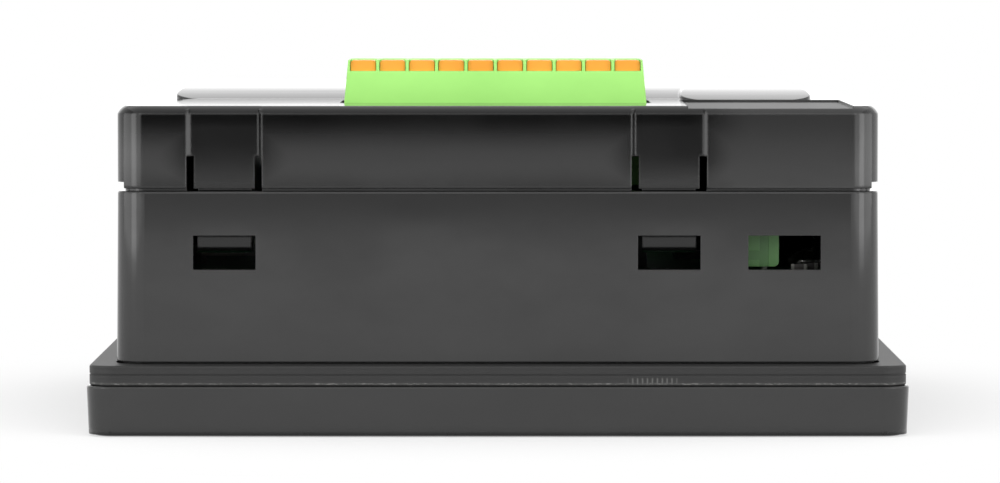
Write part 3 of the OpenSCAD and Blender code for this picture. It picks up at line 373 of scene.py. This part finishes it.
# A darker copy of the tinned metal for the chip caps: painted shade, as they sit in the dark inside
# of the housing.
shaded_solder = rolled_metal("shaded_solder", "#70706c", 0.5, (0.3, 0.3, 0.3))
can_aluminium = rolled_metal("drawn_aluminium", "#d6d7d8", 0.3, (0.3, 0.3, 0.3))
print("metals:", len([m for m in bpy.data.materials if m.node_tree and
                      m.node_tree.nodes["Principled BSDF"].inputs["Metallic"].default_value == 1]))

# %% [markdown]
# ## Circuit boards
#
# A bare board is glass cloth in resin under a green lacquer. Copper tracks lie under the lacquer
# and show as slightly lighter, raised lines. Bricks of two widths give the tracks: their mortar is
# the gap, the brick faces the copper areas. One function takes the direction, so that the lying
# boards and the small upright one each get a pattern in their own plane.

# %% Lacquered board with copper under it
def lacquered_board(name, colour, copper, turn, track_mm):
    """Colour is copper where a brick pattern, turned into the board's plane, is between joints."""
    material, tree, shader, coords = new_material(name, Roughness=0.32, IOR=1.5)
    plane = add_node(tree, "ShaderNodeMapping", {}, {"Vector": coords, "Rotation": turn})
    bricks = add_node(tree, "ShaderNodeTexBrick",
                      {"offset": 0.37, "squash": 1.7, "squash_frequency": 3},
                      {"Vector": plane.outputs[0], "Color1": (1, 1, 1, 1),
                       "Color2": (0.8, 0.8, 0.8, 1), "Mortar": (0, 0, 0, 1), "Scale": 1.0,
                       "Mortar Size": 0.22 * track_mm * MM, "Brick Width": 4 * track_mm * MM,
                       "Row Height": track_mm * MM}).outputs["Color"]
    glass = add_node(tree, "ShaderNodeTexNoise", {}, {"Vector": coords, "Scale": per_metre(0.5)})
    tone = add_node(tree, "ShaderNodeMix", {"data_type": "RGBA"},
                    {"Factor": bricks, 6: linear(colour), 7: linear(copper)})
    raised_copper = add_node(tree, "ShaderNodeBump", {},
                             {"Height": bricks, "Distance": 0.035 * MM})
    cloth = add_node(tree, "ShaderNodeBump", {},
                     {"Height": glass.outputs["Fac"], "Distance": 0.01 * MM,
                      "Normal": raised_copper.outputs[0]})
    tree.links.new(tone.outputs[2], shader.inputs["Base Color"])
    tree.links.new(cloth.outputs[0], shader.inputs["Normal"])
    return material


QUARTER = np.pi / 2
lying_track_mm, upright_track_mm = 1.4, 2.6
board_flat = lacquered_board("lacquered_board", "#1d4a2a", "#2b6238", (0, 0, 0), lying_track_mm)
board_upright = lacquered_board("lacquered_board_upright", "#3a6032", "#466f3c",
                                (QUARTER, 0, QUARTER), upright_track_mm)
print("track width in mm:", lying_track_mm, "on lying boards,", upright_track_mm, "on the upright")

# %% [markdown]
# ## Display: clear window, glass cell and diffuser
#
# The window in the front frame is clear acrylic with a faint smoke tint. Behind it lies the glass
# cell of the display, dark while it is switched off, inside a blackened border. A mask on Object
# coordinates separates the picture area from that border: it is 1 where both |x| and |y| are inside
# the area.

# %% Window, cell, diffuser, overlay film
clear_acrylic = new_material("clear_acrylic", "#c9cdd0", Roughness=0.03, IOR=1.49,
                             Transmission_Weight=1.0)[0]

border = 4 * MM
cell_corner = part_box("display_cell")[1]
half_x, half_y = cell_corner.x - border, cell_corner.y - border
cell_glass, tree, shader, coords = new_material("display_cell_glass", Roughness=0.12, IOR=1.52)
axes = add_node(tree, "ShaderNodeSeparateXYZ", {}, {"Vector": coords})
inside = []
for axis, half in (("X", half_x), ("Y", half_y)):
    size = add_node(tree, "ShaderNodeMath", {"operation": "ABSOLUTE"}, {0: axes.outputs[axis]})
    inside.append(add_node(tree, "ShaderNodeMath", {"operation": "LESS_THAN"},
                           {0: size.outputs[0], 1: half}).outputs[0])
both = add_node(tree, "ShaderNodeMath", {"operation": "MULTIPLY"}, {0: inside[0], 1: inside[1]})
tone = add_node(tree, "ShaderNodeMix", {"data_type": "RGBA"},
                {"Factor": both.outputs[0], 6: linear("#0c0c0d"), 7: linear("#1d2226")})
tree.links.new(tone.outputs[2], shader.inputs["Base Color"])

# White acrylic of the backlight, matt so that it spreads its light.
diffuser = new_material("acrylic_diffuser", "#eceded", Roughness=0.6)[0]
# Polyester film with a fine matt texture, printed black on its back.
overlay_film = moulded_plastic("matt_polyester_film", "#232324", "#202021",
                               0.45, 0.15, 0.006, 0.05)[0]
# Polyimide film of the flat cable: amber, smooth, its copper lines showing through.
polyimide = rolled_metal("polyimide_film", "#c98a35", 0.35, (0.3, 20, 20), metallic=0.0)
print("picture area in mm:", round(2 * half_x / MM, 1), "by", round(2 * half_y / MM, 1))

# %% [markdown]
# ## Ferrite, ceramic and the capacitor's sleeve
#
# Ferrite is a sintered grey-black ceramic, rough and dull. Chip parts are a ceramic block with two
# tinned ends. The capacitors wear a shrunk PVC sleeve, glossy and smooth.

# %% Sintered and glossy materials
ferrite = moulded_plastic("sintered_ferrite", "#3a3a3c", "#2e2e30", 0.55, 0.15, 0.012, 0.2)[0]
chip_ceramic = moulded_plastic("fired_ceramic", "#2a2523", "#241f1e", 0.4, 0.1, 0.004, 0.05)[0]
pvc_sleeve = moulded_plastic("shrunk_pvc_sleeve", "#1d2438", "#1a2032", 0.22, 0.5, 0.002, 0.1)[0]
print("materials so far:", len(bpy.data.materials))

# %% [markdown]
# ## Which node wears which finish
#
# The CAD nodes keep their meshes, so a finish only goes into their material slot. A table reads
# like the parts list of the object. The few nodes that finer pieces replace further down wear one
# too, so that none is left bare.

# %% Give each CAD node its material
finishes = {
    "front_frame": abs_frame, "front_overlay": overlay_film, "display_window": clear_acrylic,
    "display_cell": cell_glass, "display_backlight": diffuser, "display_tray": rolled_steel,
    "display_pad": foam, "panel_gasket": gasket_rubber, "housing": abs_housing,
    "rear_cover": abs_cover, "frame_screws": rolled_steel, "main_board": board_flat,
    "io_board": board_flat, "board_spacers": brass_metal, "board_screws": rolled_steel,
    "display_ribbon": polyimide, "board_link": black_filled, "processor": black_filled,
    "memory_chips": black_filled, "backup_battery": rolled_steel, "battery_clip": spring_strip,
    "signal_parts": chip_ceramic, "filter_capacitors": pvc_sleeve, "power_inductor": ferrite,
    "output_relays": relay_abs, "supply_board": board_upright, "supply_board_pins": tinned_copper,
    "network_jack": black_filled, "jack_shield": rolled_steel, "jack_contacts": gold_plate,
    "supply_header": nylon_header_shaded, "supply_pins": tinned_copper, "plug_header": nylon_header_shaded,
    "header_pins": tinned_copper, "plug_body": nylon_green, "plug_contacts": brass_metal,
}
finishes.update({name: spring_strip for name in nodes if name.startswith("clamp_spring")})
finishes.update({name: nylon_orange for name in nodes if name.startswith("release_button")})
for name, material in finishes.items():
    nodes[name].data.materials.clear()
    nodes[name].data.materials.append(material)
print("finished:", len(finishes), "of", len(nodes), "nodes; left:",
      sorted(set(nodes) - set(finishes)))

# %% [markdown]
# ## Surfaces from grids
#
# New pieces are grids of points: rings of points along a path, closed at each end by one pole. The
# faces of such a tube follow a fixed pattern, so they are worked out as whole arrays, once for all
# copies.

# %% A closed tube from rings of points
def closed_tube(rings, start, end):
    """rings: copies x rows x columns x 3; start and end: copies x 3, the poles. Returns points,
    quads and triangles. Quad (row, column) joins it to the next row and, wrapping round, the next
    column."""
    copies, rows, columns, _ = rings.shape
    size = rows * columns + 2
    points = np.concatenate([rings.reshape(copies, -1, 3), start[:, None], end[:, None]], axis=1)
    row, column = np.meshgrid(np.arange(rows - 1), np.arange(columns), indexing="ij")
    a = row * columns + column
    b = row * columns + (column + 1) % columns
    quads = np.stack([a, b, b + columns, a + columns], axis=-1).reshape(-1, 4)
    last = (rows - 1) * columns
    around = np.arange(columns)
    ahead = (around + 1) % columns
    fan_start = np.stack([ahead, around, np.full(columns, size - 2)], axis=-1)
    fan_end = np.stack([last + around, last + ahead, np.full(columns, size - 1)], axis=-1)
    shift = np.arange(copies)[:, None, None] * size
    quads = (quads + shift).reshape(-1, 4)
    fans = (np.concatenate([fan_start, fan_end]) + shift).reshape(-1, 3)
    return points.reshape(-1, 3), quads, fans


def add_piece(name, parts, materials):
    """One smooth object from several (points, quads, fans, material number) parts, put in with
    foreach_set."""
    points, loops, sizes, slots, base = [], [], [], [], 0
    for part_points, quads, fans, slot in parts:
        points.append(part_points)
        for faces, corners in ((quads, 4), (fans, 3)):
            loops.append((faces + base).ravel())
            sizes.append(np.full(len(faces), corners))
            slots.append(np.full(len(faces), slot))
        base += len(part_points)
    points, loops, sizes, slots = (np.concatenate(v) for v in (points, loops, sizes, slots))
    mesh = bpy.data.meshes.new(name)
    mesh.vertices.add(len(points))
    mesh.vertices.foreach_set("co", points.astype(np.float32).ravel())
    mesh.loops.add(len(loops))
    mesh.loops.foreach_set("vertex_index", loops.astype(np.int32))
    mesh.polygons.add(len(sizes))
    mesh.polygons.foreach_set("loop_start", (np.cumsum(sizes) - sizes).astype(np.int32))
    for material in materials:
        mesh.materials.append(material)
    mesh.polygons.foreach_set("material_index", slots.astype(np.int32))
    mesh.update(calc_edges=True)
    mesh.validate()
    mesh.polygons.foreach_set("use_smooth", np.full(len(sizes), True))
    piece = bpy.data.objects.new(name, mesh)
    scene.collection.objects.link(piece)
    print(name, "faces:", len(mesh.polygons))
    return piece

# %% [markdown]
# ## Filter capacitors
#
# A can capacitor is a drawn aluminium cup, crimped near its foot and dressed in a sleeve that is
# shrunk over the top edge. It is round, so it is a profile turned about its axis: the radius is
# given at a few heights and each ring of the grid is that radius times the cosine and sine of the
# angle. The sleeve and the bare metal disc on top are two such surfaces.

# %% Turned capacitor cans
def turned(profile_mm, centres, steps=40):
    """Rings: centre + (r cos a, r sin a, z) for each (r, z) of the profile and each angle a."""
    profile = np.array(profile_mm) * MM
    angle = np.arange(steps) * 2 * np.pi / steps
    circle = np.stack([np.cos(angle), np.sin(angle), np.zeros(steps)], axis=-1)
    rise = np.array([0, 0, 1.0])
    rings = profile[:, None, :1] * circle + profile[:, None, 1:] * rise
    rings = centres[:, None, None, :] + rings[None]
    return closed_tube(rings, centres + profile[0, 1] * rise, centres + profile[-1, 1] * rise)


low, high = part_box("filter_capacitors")
can_r = (high.y - low.y) / 2 / MM
can_h = (high.z - low.z) / MM
can_centres = np.array([[low.x + can_r * MM, (low.y + high.y) / 2, low.z],
                        [high.x - can_r * MM, (low.y + high.y) / 2, low.z]])
# In mm: how far the sleeve stands in from the radius, at heights from the foot and from the top.
sleeve = [(can_r - inset, height) for inset, height in (
    (1.2, 0), (0.5, 0.02), (0.06, 0.3), (0.02, 1.2), (0.3, 1.6), (0.42, 1.9), (0.3, 2.2),
    (0.02, 2.6), (0, 5))]
sleeve += [(can_r - inset, can_h - depth) for inset, depth in (
    (0, 0.7), (0.12, 0.3), (0.45, 0.05), (0.9, 0), (1.1, 0.08), (1.12, 0.3))]
disc = [(can_r - 1.2, can_h - 0.5), (can_r - 1.15, can_h - 0.26), (can_r - 1.6, can_h - 0.2),
        (can_r * 0.4, can_h - 0.2), (can_r * 0.36, can_h - 0.25), (0.2, can_h - 0.25)]
cans = add_piece("capacitor_cans",
                 [(*turned(sleeve, can_centres), 0), (*turned(disc, can_centres), 1)],
                 [pvc_sleeve, can_aluminium])
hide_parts("filter_capacitors")
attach(cans, "controller")

# %% [markdown]
# ## Contacts of the network jack
#
# Eight springy gold wires lie side by side in the jack's mouth. Each comes up along the near wall,
# turns round at the top and slants back down into the mouth, where the plug pushes on it. A wire is
# a round profile carried along a bent path: at each point of the path the circle stands square to
# the direction. With the cosine and the sine raised to a small power the circle turns into a
# rounded rectangle, so the same function can carry a flat strip.

# %% Wires bent along a path
def raised(values, power):
    """The values raised to a power, with their sign kept."""
    return np.sign(values) * np.abs(values) ** power


def carried(path, half_side, half_normal, sides, offsets, power=1.0):
    """Rings: path + offset + half_side c(a) side + half_normal s(a) normal, where c and s are the
    raised cosine and sine, side is X, and normal is the path's direction turned by a quarter in the
    YZ plane."""
    direction = np.gradient(path, axis=0)
    direction /= np.linalg.norm(direction, axis=1, keepdims=True)
    normal = np.stack([np.zeros(len(path)), direction[:, 2], -direction[:, 1]], axis=-1)
    angle = (np.arange(sides) + 0.5) * 2 * np.pi / sides
    ring = (raised(np.cos(angle), power)[None, :, None] * np.array([half_side, 0, 0])
            + raised(np.sin(angle), power)[None, :, None] * normal[:, None] * half_normal)
    rings = path[None, :, None, :] + offsets[:, None, None, :] + ring[None]
    return closed_tube(rings, path[0] + offsets, path[-1] + offsets)


low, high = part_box("jack_contacts")
wire_r, wire_inset, bend_below_top = 0.17 * MM, 0.2 * MM, 0.8 * MM
wire_x = np.linspace(low.x + wire_inset, high.x - wire_inset, 8)
# In mm, with the height of the bend as zero: where the wire starts, the bend, and how far the wire
# slants down and inwards after it.
foot_z, bend_r, slant_down, slant_in = -8.4, 0.5, 7, 0.3
up = np.linspace(foot_z, -0.2, 12)
turn = np.linspace(np.pi, 0.12 * np.pi, 14)
down = np.linspace(0.08, 1, 12)
rise = np.stack([0 * up, 0 * up, up], axis=-1)
bend = np.stack([0 * turn, bend_r + bend_r * np.cos(turn), bend_r * np.sin(turn)], axis=-1)
fall = np.stack([0 * down, bend[-1, 1] + slant_in * down, bend[-1, 2] - slant_down * down], axis=-1)
wire_path = np.concatenate([rise, bend, fall]) * MM
wire_path += np.array([0, low.y + wire_inset, high.z - bend_below_top])
wire_offsets = np.stack([wire_x, 0 * wire_x, 0 * wire_x], axis=-1)
wires = add_piece("jack_wires", [(*carried(wire_path, wire_r, wire_r, 12, wire_offsets), 0)],
                  [gold_plate])
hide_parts("jack_contacts")
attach(wires, "controller")

# %% [markdown]
# ## Clamp springs
#
# Under each release button a stainless strip is bent into a foot on the chamber's floor, a half
# round bend and a leg with a short tip that clamps the wire. The path is made of those stretches in
# turn, and the strip's section is carried along it. A pressed button pushes the leg down, and the
# real spring gives way. Here each spring is shaped from its own box in the model: its half round
# bend fills that box's height.

# %% Ten springs, each shaped to its own box
strip_t, tip_h, corner_r, button_gap = 0.3 * MM, 1.4 * MM, 0.3 * MM, 0.03 * MM
strip_power = 0.35
round_bend = np.linspace(-np.pi / 2, np.pi / 2, 24)
corner = np.linspace(np.pi / 2, 0, 7)
for number in range(1, 11):
    low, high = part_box(f"clamp_spring_{number:02d}")
    bend_r = (high.z - low.z - strip_t) / 2
    bend_y, bend_z = low.y + bend_r + strip_t / 2, (low.z + high.z) / 2
    corner_y, corner_z = high.y - strip_t / 2 - corner_r, high.z - strip_t / 2 - corner_r
    stretches = [
        (np.linspace(bend_y + bend_r, bend_y, 6)[:-1], np.full(5, bend_z - bend_r)),
        (bend_y - bend_r * np.cos(round_bend), bend_z + bend_r * np.sin(round_bend)),
        (np.linspace(bend_y, corner_y, 6)[1:-1], np.full(4, bend_z + bend_r)),
        (corner_y + corner_r * np.cos(corner), corner_z + corner_r * np.sin(corner)),
        (np.full(4, corner_y + corner_r), np.linspace(corner_z, high.z - tip_h, 5)[1:])]
    strip_path = np.concatenate([np.stack([0 * y, y, z], axis=-1) for y, z in stretches])
    middle = np.array([[(low.x + high.x) / 2, 0, 0]])
    strip = carried(strip_path, (high.x - low.x) / 2, strip_t / 2, 16, middle, strip_power)
    spring = add_piece(f"spring_strip_{number:02d}", [(*strip, 0)], [spring_strip])
    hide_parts(f"clamp_spring_{number:02d}")
    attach(spring, "controller")
    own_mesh(spring)

# %% [markdown]
# ## Chip parts
#
# A chip part is a ceramic block with a tinned cap on each end. A superellipsoid is a ball whose
# cosines and sines are raised to a small power, which pushes it out into a block with rounded
# edges. It needs no bevel, and one grid serves for the block and for its caps, which are a little
# larger and shorter. Ten parts stand in a row, one for each pole of the plug, and two more stand
# at the right.

# %% Rounded blocks with tinned ends
def rounded_blocks(centres, half, power=0.22, rows=11, columns=24):
    """Point: centre + half * (c(v) c(u), c(v) s(u), s(v)), where c and s are the raised cosine and
    sine; v runs from pole to pole along Z, u goes round."""
    v = np.linspace(-np.pi / 2, np.pi / 2, rows + 2)[1:-1]
    u = (np.arange(columns) + 0.5) * 2 * np.pi / columns
    out = raised(np.cos(v), power)[:, None]
    ring = np.stack([out * raised(np.cos(u), power), out * raised(np.sin(u), power),
                     np.repeat(raised(np.sin(v), power)[:, None], columns, axis=1)], axis=-1) * half
    pole = np.array([0, 0, half[2]])
    return closed_tube(centres[:, None, None, :] + ring[None], centres - pole, centres + pole)


low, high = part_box("signal_parts")
plug_low, plug_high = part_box("plug_body")
poles, pitch_mm = 10, 3.5
chip_half = np.array([1.0, 0.6, 0.45]) * MM
block_share, cap_share, cap_shift_mm = np.array([0.9, 0.94, 0.94]), np.array([0.25, 1, 1]), 0.75
row_x = ((plug_low.x + plug_high.x) / 2
         + (np.arange(poles) - (poles - 1) / 2) * pitch_mm * MM)
row_y = high.y - chip_half[1]
corner_x = high.x - chip_half[0]
chip_xy = np.concatenate([np.stack([row_x, np.full(poles, row_y)], axis=-1),
                          [[corner_x, low.y + 3.2 * MM],
                           [corner_x - 1.4 * MM, low.y + 0.6 * MM]]])
chip_z = np.full((len(chip_xy), 1), (low.z + high.z) / 2)
chip_middles = np.concatenate([chip_xy, chip_z], axis=1)
block = rounded_blocks(chip_middles, chip_half * block_share)
caps = [rounded_blocks(chip_middles + np.array([side * cap_shift_mm, 0, 0]) * MM,
                       chip_half * cap_share) for side in (-1, 1)]
# The caps wear that darker tin, which is painted shade.
chips = add_piece("chip_parts", [(*block, 0), (*caps[0], 1), (*caps[1], 1)],
                  [chip_ceramic, shaded_solder])
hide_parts("signal_parts")
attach(chips, "controller")

# %% [markdown]
# ## Floor
#
# The object lies on a white table that runs off into a white background. The table top is a matt
# sheet, so it keeps the soft shadow round the object. From 0.1 m out, and only for rays that come
# from the camera, from a reflection or through glass, it turns into plain white: a smooth step of
# the distance from the middle mixes light of strength 1 over the sheet. Under the object that share
# is 40 %. The table ends 0.8 m in front, and that edge matters more than its look: a polished wall
# is a mirror, and its lower part shows the bright table while its upper part shows the dim room
# beyond the edge.

# %% White floor that keeps the shadow
def ray_kinds(tree):
    """Two values: 1 for rays from the camera, and 1 for rays from the camera, from a reflection or
    through glass."""
    paths = add_node(tree, "ShaderNodeLightPath")
    seen = direct = paths.outputs["Is Camera Ray"]
    for kind in ("Is Glossy Ray", "Is Transmission Ray"):
        seen = add_node(tree, "ShaderNodeMath", {"operation": "MAXIMUM"},
                        {0: seen, 1: paths.outputs[kind]}).outputs[0]
    return direct, seen


floor_reach, floor_front = 40.0, -0.8
sheet_r, white_r, sheet_share = 0.045, 0.1, 0.4
floor_mesh = bpy.data.meshes.new("floor")
floor_mesh.from_pydata([(-floor_reach, floor_front, 0), (floor_reach, floor_front, 0),
                        (floor_reach, floor_reach, 0), (-floor_reach, floor_reach, 0)],
                       [], [(0, 1, 2, 3)])
floor = bpy.data.objects.new("floor", floor_mesh)
scene.collection.objects.link(floor)
paper, tree, shader, coords = new_material("white_paper_floor", "#f4f4f4", Roughness=0.9,
                                           Specular_IOR_Level=0.1)
seen = ray_kinds(tree)[1]
from_middle = add_node(tree, "ShaderNodeVectorMath", {"operation": "LENGTH"}, {0: coords})
far = add_node(tree, "ShaderNodeMapRange", {"interpolation_type": "SMOOTHSTEP"},
               {"Value": from_middle.outputs["Value"], "From Min": sheet_r, "From Max": white_r,
                "To Min": sheet_share})
share = add_node(tree, "ShaderNodeMath", {"operation": "MULTIPLY"}, {0: far.outputs[0], 1: seen})
white = add_node(tree, "ShaderNodeEmission", {}, {"Color": (1, 1, 1, 1), "Strength": 1.0})
blend = add_node(tree, "ShaderNodeMixShader", {},
                 {0: share.outputs[0], 1: shader.outputs[0], 2: white.outputs[0]})
tree.links.new(blend.outputs[0], tree.nodes["Material Output"].inputs["Surface"])
floor.data.materials.append(paper)
print("floor reaches", floor_reach, "m; plain white from", white_r, "m out")

# %% [markdown]
# ## Light
#
# The photograph has an even, soft light, and a polished black body that shows its room. The rear
# cover is white, because at a grazing angle it mirrors the white backdrop. The near wall is nearly
# black, because it mirrors the dim side that the camera stands on. So the room's brightness, for
# rays that reflect, is a smooth step of their Y direction: dim in front, white behind. What the
# camera sees directly is white. A panel behind the object adds to that white low over the horizon,
# where the flat rim of the cover looks. The slope of the plateau looks higher up and so comes out a
# little greyer.
#
# An upright corner mirrors what stands at twice the angle of its own normal, so it sweeps over the
# whole side of the room. A broad panel on each side, from 22 to 98 degrees, gives the corner its
# grey, and a narrow brighter one in it, at 50 degrees, gives the soft vertical highlight. A lamp's
# brightness in a mirror is its power over pi times its area, so each panel is given by that
# brightness.

# %% Surround and lamps
world = bpy.data.worlds.new("studio")
world.use_nodes = True
scene.world = world
tree = world.node_tree
direct, seen = ray_kinds(tree)
fill = 0.45
toward = add_node(tree, "ShaderNodeTexCoord").outputs["Generated"]
ray = add_node(tree, "ShaderNodeSeparateXYZ", {}, {"Vector": toward}).outputs["Y"]
room = add_node(tree, "ShaderNodeMapRange", {"interpolation_type": "SMOOTHSTEP"},
                {"Value": ray, "From Min": -0.9, "From Max": 0.7, "To Min": 0.06, "To Max": 1.0})
plain = add_node(tree, "ShaderNodeMath", {"operation": "MAXIMUM"}, {0: room.outputs[0], 1: direct})
level = add_node(tree, "ShaderNodeMix", {"data_type": "FLOAT"},
                 {"Factor": seen, 2: fill, 3: plain.outputs[0]})
tree.links.new(level.outputs[0], tree.nodes["Background"].inputs["Strength"])
tree.nodes["Background"].inputs["Color"].default_value = (1, 1, 1, 1)


def soft_panel(name, place, aim, size_x, size_y, brightness):
    """An area lamp at a place in metres, turned towards its aim. Its power in watts is pi times its
    area times the brightness that a mirror would show, where 1 is white."""
    lamp = bpy.data.lights.new(name, "AREA")
    lamp.shape, lamp.size, lamp.size_y = "RECTANGLE", size_x, size_y
    lamp.energy = np.pi * size_x * size_y * brightness
    panel = bpy.data.objects.new(name, lamp)
    scene.collection.objects.link(panel)
    panel.location = place
    panel.rotation_euler = (Vector(aim) - Vector(place)).to_track_quat("-Z", "Y").to_euler()


soft_panel("front_panel", (0.0, -1.5, 0.85), (0, 0, 0.02), 1.6, 0.9, 2.0)
soft_panel("top_panel", (0.0, 0.1, 1.3), (0, 0.1, 0.0), 2.0, 2.0, 0.65)
soft_panel("back_panel", (0.0, 1.6, 0.5), (0, 0, 0.5), 3.0, 1.0, 0.6)
# The upright panels stand on an arc about a point near the wall, from the table up to 0.45 m.
arc_y, arc_r, panel_h = -0.04, 0.55, 0.45
for side in (-1, 1):
    for name, degrees, width, brightness in (("side_panel", 60, 0.86, 1.4),
                                             ("corner_panel", 50, 0.19, 1.8)):
        angle = np.radians(degrees) * side
        place = (arc_r * np.sin(angle), arc_y - arc_r * np.cos(angle), panel_h / 2)
        soft_panel(name, place, (0, arc_y, panel_h / 2), width, panel_h, brightness)
